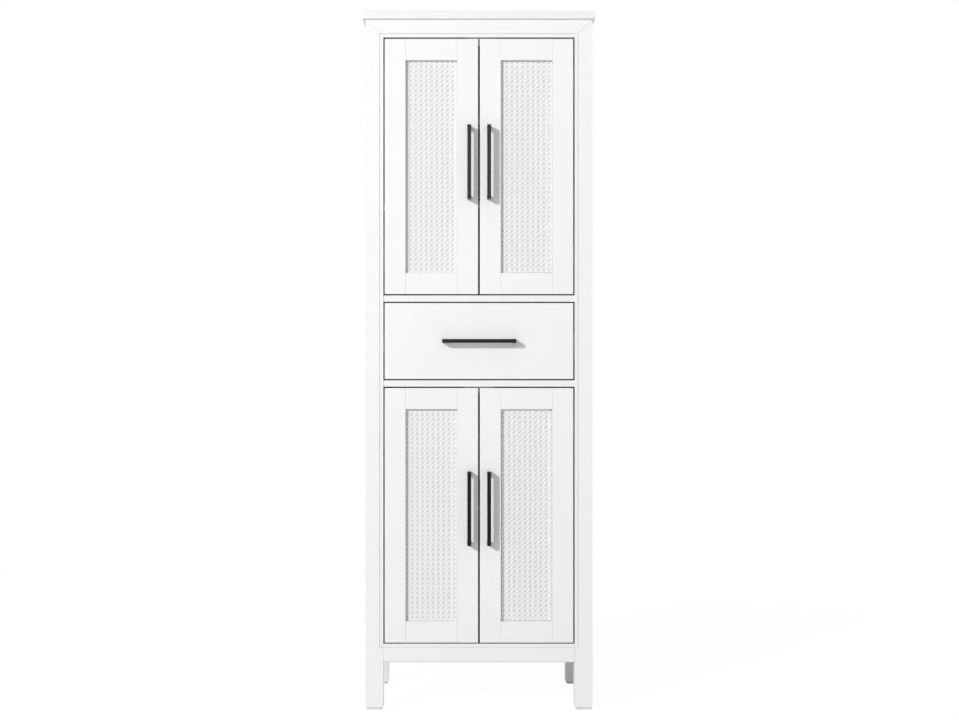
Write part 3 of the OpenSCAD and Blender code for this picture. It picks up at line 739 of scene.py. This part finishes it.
def add_stop_screws():
    low = corners("door_stops")[0]
    hang = corners("lower_divider")[0].z - low.z
    upper_z = corners("top_rail")[0].z - hang - STOP_DROP
    seats = [((s * STOP_SCREW_SIDE, middle_of("door_stops").y, z), DOWNWARD)
             for z in (low.z, upper_z) for s in SIDES]
    add_screws("stop_screws", "cabinet", "pin_steel", seats, STOP_HEAD)


def add_slide_screws():
    """The screws that hold the outer members to the posts, and the inner ones to the drawer."""
    outer_low, outer_high = corners("slide_outer_members")
    inner_low, inner_high = corners("slide_inner_members")
    z = (outer_low.z + outer_high.z) / 2
    outer_places = (outer_low.y + OUTER_SCREW_IN, outer_high.y - OUTER_SCREW_IN)
    inner_places = (inner_low.y + INNER_SCREW_FRONT, 0.0, inner_high.y - INNER_SCREW_BACK)
    outer_x, inner_x = outer_high.x - OUTER_WEB, outer_high.x - INNER_WEB
    outer = [((s * outer_x, y, z), (-s, 0, 0)) for s in SIDES for y in outer_places]
    inner = [((s * inner_x, y, z), (s, 0, 0)) for s in SIDES for y in inner_places]
    add_screws("slide_outer_screws", "cabinet", "slide_steel", outer, SLIDE_HEAD)
    add_screws("slide_inner_screws", "drawer", "slide_steel", inner, SLIDE_HEAD)


def add_back_screws():
    low, high = corners("back_panel")
    pitch = (high.z - low.z - 2 * BACK_SCREW_END) / (BACK_SCREW_ROWS - 1)
    seats = [((s * (high.x - BACK_SCREW_IN), high.y, low.z + BACK_SCREW_END + i * pitch), BACKWARD)
             for s in SIDES for i in range(BACK_SCREW_ROWS)]
    first_x = -BOARD_SCREW_PITCH * (BOARD_SCREW_COUNT - 1) / 2
    for board in BOARDS:
        seats += [((first_x + i * BOARD_SCREW_PITCH, high.y, middle_of(board).z), BACKWARD)
                  for i in range(BOARD_SCREW_COUNT)]
    add_screws("back_screws", "cabinet", "pin_steel", seats, BACK_HEAD)


# The stage

def clear_to_sight(tree):
    """1 for a ray that shows the background, straight, mirrored or through glass, and 0 for light."""
    path = tree.nodes.new("ShaderNodeLightPath")
    seen = path.outputs["Is Camera Ray"]
    for way in ("Is Glossy Ray", "Is Transmission Ray"):
        either = tree.nodes.new("ShaderNodeMath")
        either.operation = "MAXIMUM"
        tree.links.new(seen, either.inputs[0])
        tree.links.new(path.outputs[way], either.inputs[1])
        seen = either.outputs["Value"]
    return seen


def mix_shaders(tree, share, first, second):
    mix = tree.nodes.new("ShaderNodeMixShader")
    tree.links.new(share, mix.inputs["Fac"])
    tree.links.new(first, mix.inputs[1])
    tree.links.new(second, mix.inputs[2])
    return mix.outputs["Shader"]


def add_shader(tree, kind, output, **values):
    """A shader node with the given inputs set, as its output."""
    node = tree.nodes.new(kind)
    for name, value in values.items():
        node.inputs[name].default_value = value
    return node.outputs[output]


def make_world():
    """Even light from all round, behind a background that looks plain white."""
    world = bpy.data.worlds.new("studio")
    bpy.context.scene.world = world
    world.use_nodes = True
    tree = world.node_tree
    tree.nodes.clear()
    fill = add_shader(tree, "ShaderNodeBackground", "Background", Color=AMBIENT_COLOUR, Strength=AMBIENT)
    white = add_shader(tree, "ShaderNodeBackground", "Background", Color=(*grey(1.0), 1.0), Strength=1.0)
    output = tree.nodes.new("ShaderNodeOutputWorld")
    tree.links.new(mix_shaders(tree, clear_to_sight(tree), fill, white), output.inputs["Surface"])


def make_floor():
    """A pale floor that is white to the camera and keeps the cabinet's soft shadow."""
    half = FLOOR_HALF
    mesh = bpy.data.meshes.new("floor")
    square = [(-half, -half, 0), (half, -half, 0), (half, half, 0), (-half, half, 0)]
    mesh.from_pydata(square, [], [(0, 1, 2, 3)])
    floor = bpy.data.objects.new("floor", mesh)
    bpy.context.scene.collection.objects.link(floor)
    material = bpy.data.materials.new("floor_white")
    material.use_nodes = True
    tree = material.node_tree
    tree.nodes.clear()
    matt = add_shader(tree, "ShaderNodeBsdfDiffuse", "BSDF", Color=(*grey(FLOOR_TONE), 1.0))
    shaded = add_shader(tree, "ShaderNodeBsdfDiffuse", "BSDF", Color=(*grey(SHADOW_TONE), 1.0))
    glow = add_shader(tree, "ShaderNodeEmission", "Emission", Strength=SHADOW_GLOW)
    white = add_shader(tree, "ShaderNodeEmission", "Emission", Strength=1.0)
    near = tree.nodes.new("ShaderNodeAddShader")
    tree.links.new(shaded, near.inputs[0])
    tree.links.new(glow, near.inputs[1])
    # The shadow shows within a few metres of the cabinet, and the rest is plain white.
    spot = tree.nodes.new("ShaderNodeTexCoord")
    length = tree.nodes.new("ShaderNodeVectorMath")
    length.operation = "LENGTH"
    tree.links.new(spot.outputs["Object"], length.inputs[0])
    start, end = SHADOW_FADE
    share = spread(tree, length.outputs["Value"], 0.0, 1.0, start, end)
    seen = mix_shaders(tree, share, near.outputs["Shader"], white)
    output = tree.nodes.new("ShaderNodeOutputMaterial")
    tree.links.new(mix_shaders(tree, clear_to_sight(tree), matt, seen), output.inputs["Surface"])
    mesh.materials.append(material)


def make_lamp(name, at, aim, watts, width, height=None):
    """A lamp of the given width and height, or a round one where no height is given."""
    lamp = bpy.data.lights.new(name, "AREA")
    lamp.shape = "RECTANGLE" if height else "DISK"
    lamp.size = width
    if height:
        lamp.size_y = height
    lamp.energy = watts
    holder = bpy.data.objects.new(name, lamp)
    bpy.context.scene.collection.objects.link(holder)
    holder.location = at
    holder.rotation_euler = (Vector(aim) - Vector(at)).to_track_quat("-Z", "Y").to_euler()
    holder.visible_camera = False
    return holder


def make_lamps():
    key = make_lamp("key", KEY_AT, KEY_AIM, KEY_WATTS, KEY_SIZE)
    key.data.color = KEY_COLOUR
    panel = make_lamp("panel", PANEL_AT, PANEL_AIM, PANEL_WATTS, PANEL_W, PANEL_H)
    # The panel only shows in gloss, so it lays no second shadow.
    panel.visible_diffuse = False


def make_camera():
    data = bpy.data.cameras.new("camera")
    data.sensor_width = SENSOR
    data.lens = CAMERA_LENS
    data.shift_x = CAMERA_SHIFT
    data.clip_end = CAMERA_REACH
    camera = bpy.data.objects.new("camera", data)
    bpy.context.scene.collection.objects.link(camera)
    camera.location = CAMERA_AT
    camera.rotation_euler = (math.radians(90), 0.0, 0.0)
    bpy.context.scene.camera = camera


dress_all_nodes()
for door in DOORS:
    add_weave(door)
for door in DOORS:
    add_cup_screws(door)
    add_handle_screws(door)
add_hinge_screws()
add_drawer_handle_screws()
add_stop_screws()
add_slide_screws()
add_back_screws()
make_world()
make_floor()
make_lamps()
make_camera()
bpy.context.scene.view_settings.view_transform = "Standard"
